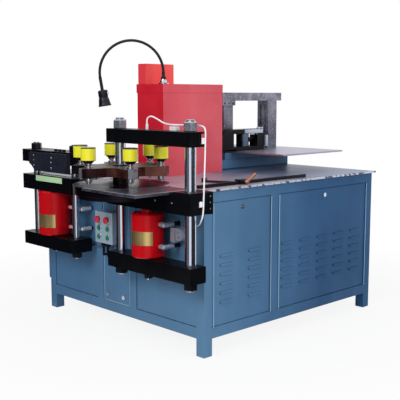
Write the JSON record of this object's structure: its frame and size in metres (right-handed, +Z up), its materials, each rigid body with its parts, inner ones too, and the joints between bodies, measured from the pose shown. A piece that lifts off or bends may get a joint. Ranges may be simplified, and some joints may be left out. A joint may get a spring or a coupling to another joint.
{
  "type": "busbar processing machine",
  "caption": "Steel cabinet with a turret punching unit and a shearing unit on its front, and a bending unit, an electric cabinet and a lamp on its table.",
  "frame": {"origin": "on the floor, in the middle of the front right leg's sole", "axes": "+X to the operator's right, +Y from the operator towards the back, +Z up"},
  "size_m": [1.5327, 1.908, 1.698],
  "materials": {
    "cabinet_blue": "satin powder coat, a little worn",
    "table_steel": "worn bluish steel with bright edges",
    "tank_paint": "satin grey paint",
    "motor_paint": "satin paint on a cast housing",
    "valve_steel": "machined steel",
    "cabinet_red": "semi-gloss red coat",
    "lamp_black": "satin black",
    "zinc": "bright zinc plate",
    "press_black": "satin black, lightly oiled",
    "black_steel": "blackened steel",
    "copper": "copper, dull",
    "plate_steel": "ground steel",
    "cylinder_red": "gloss red",
    "chrome_rod": "hard chrome",
    "turret_brown": "browned steel with machined faces",
    "die_steel": "hardened steel",
    "punch_yellow": "yellow polyurethane pad between black caps",
    "box_grey": "light grey coat",
    "button_red": "gloss",
    "button_green": "gloss",
    "hose_rubber": "satin rubber",
    "cable_white": "white plastic",
    "weathered_grey": "weathered grey coat"
  },
  "bodies": {
    "base": {"cabinet_frame": "cabinet_blue", "fixed_panels": "cabinet_blue", "front_cover": "cabinet_blue", "side_cover_front": "cabinet_blue", "side_cover_back": "cabinet_blue", "cover_locks": "zinc", "table_top": "table_steel", "oil_tank": "tank_paint", "pump_motor": "motor_paint", "valve_block": "valve_steel", "electric_cabinet": "cabinet_red", "electric_cabinet_top": "cabinet_red", "lamp_base": "zinc", "lamp_arm": "lamp_black", "lamp_head": "lamp_black", "guide_rail": "black_steel", "punch_body": "press_black", "work_plate": "plate_steel", "punch_cylinder": "cylinder_red", "shear_body": "press_black", "shear_lower_tool": "plate_steel", "shear_cylinder": "cylinder_red", "control_box": "box_grey", "hydraulic_fittings": "zinc", "hydraulic_hoses": "hose_rubber", "sensor_cable": "cable_white", "rear_riser": "cabinet_blue", "rear_plate": "plate_steel", "portal_frame": "weathered_grey", "bender_frame": "black_steel", "bender_cylinder": "press_black", "bender_die": "valve_steel"},
    "punch_frame": {"punch_beam": "press_black", "punch_bottom_plate": "press_black", "punch_rods": "chrome_rod", "punch_nuts": "zinc", "cable_clips": "cable_white"},
    "turret": {"turret_head": "turret_brown", "die_disc": "die_steel", "dies": "plate_steel"},
    "shear_frame": {"shear_beam": "press_black", "shear_bottom_plate": "press_black", "shear_rods": "chrome_rod", "shear_nuts": "black_steel", "shear_upper_tool": "black_steel"},
    "stop_clamp": {"stop_clamp": "black_steel"},
    "clamp_lever": {"clamp_lever": "copper"},
    "bending_ram": {"bender_ram": "die_steel"},
    "punch_1": {"punch_1": "punch_yellow"},
    "punch_2": {"punch_2": "punch_yellow"},
    "punch_3": {"punch_3": "punch_yellow"},
    "punch_4": {"punch_4": "punch_yellow"},
    "punch_5": {"punch_5": "punch_yellow"},
    "punch_6": {"punch_6": "punch_yellow"},
    "stop_button_1": {"stop_button_1": "button_red"},
    "stop_button_2": {"stop_button_2": "button_red"},
    "start_button_1": {"start_button_1": "button_green"},
    "start_button_2": {"start_button_2": "button_green"},
    "start_button_3": {"start_button_3": "button_green"},
    "start_button_4": {"start_button_4": "button_green"}
  },
  "joints": [
    {"name": "punch_frame_slide", "type": "slide", "parent": "base", "child": "punch_frame", "axis": [0, 0, -1], "range_m": [0, 0.043], "deforming": ["sensor_cable"]},
    {"name": "turret_turn", "type": "hinge", "parent": "base", "child": "turret", "pos_m": [-0.526, -0.132, 0.9], "axis": [0, 0, 1], "range_deg": [-180, 180]},
    {"name": "shear_frame_slide", "type": "slide", "parent": "base", "child": "shear_frame", "axis": [0, 0, -1], "range_m": [0, 0.024]},
    {"name": "punch_1_slide", "type": "slide", "parent": "turret", "child": "punch_1", "axis": [0, 0, -1], "range_m": [0, 0.025], "stiffness_N_per_m": 1500, "springref_m": -0.05},
    {"name": "punch_2_slide", "type": "slide", "parent": "turret", "child": "punch_2", "axis": [0, 0, -1], "range_m": [0, 0.025], "stiffness_N_per_m": 1500, "springref_m": -0.05},
    {"name": "punch_3_slide", "type": "slide", "parent": "turret", "child": "punch_3", "axis": [0, 0, -1], "range_m": [0, 0.025], "stiffness_N_per_m": 1500, "springref_m": -0.05},
    {"name": "punch_4_slide", "type": "slide", "parent": "turret", "child": "punch_4", "axis": [0, 0, -1], "range_m": [0, 0.025], "stiffness_N_per_m": 1500, "springref_m": -0.05},
    {"name": "punch_5_slide", "type": "slide", "parent": "turret", "child": "punch_5", "axis": [0, 0, -1], "range_m": [0, 0.025], "stiffness_N_per_m": 1500, "springref_m": -0.05},
    {"name": "punch_6_slide", "type": "slide", "parent": "turret", "child": "punch_6", "axis": [0, 0, -1], "range_m": [0, 0.025], "stiffness_N_per_m": 1500, "springref_m": -0.05},
    {"name": "stop_button_1_press", "type": "slide", "parent": "base", "child": "stop_button_1", "axis": [0, 1, 0], "range_m": [0, 0.005], "stiffness_N_per_m": 400, "springref_m": -0.005},
    {"name": "stop_button_2_press", "type": "slide", "parent": "base", "child": "stop_button_2", "axis": [0, 1, 0], "range_m": [0, 0.005], "stiffness_N_per_m": 400, "springref_m": -0.005},
    {"name": "start_button_1_press", "type": "slide", "parent": "base", "child": "start_button_1", "axis": [0, 1, 0], "range_m": [0, 0.004], "stiffness_N_per_m": 400, "springref_m": -0.005},
    {"name": "start_button_2_press", "type": "slide", "parent": "base", "child": "start_button_2", "axis": [0, 1, 0], "range_m": [0, 0.004], "stiffness_N_per_m": 400, "springref_m": -0.005},
    {"name": "start_button_3_press", "type": "slide", "parent": "base", "child": "start_button_3", "axis": [0, 1, 0], "range_m": [0, 0.004], "stiffness_N_per_m": 400, "springref_m": -0.005},
    {"name": "start_button_4_press", "type": "slide", "parent": "base", "child": "start_button_4", "axis": [0, 1, 0], "range_m": [0, 0.004], "stiffness_N_per_m": 400, "springref_m": -0.005},
    {"name": "stop_slide", "type": "slide", "parent": "base", "child": "stop_clamp", "axis": [0, 1, 0], "range_m": [-0.2, 0.4]},
    {"name": "clamp_lever_turn", "type": "hinge", "parent": "stop_clamp", "child": "clamp_lever", "pos_m": [-0.016, 0.321, 0.904], "axis": [1, 0, 0], "range_deg": [-25, 120]},
    {"name": "bending_ram_slide", "type": "slide", "parent": "base", "child": "bending_ram", "axis": [0, -1, 0], "range_m": [0, 0.07]}
  ]
}
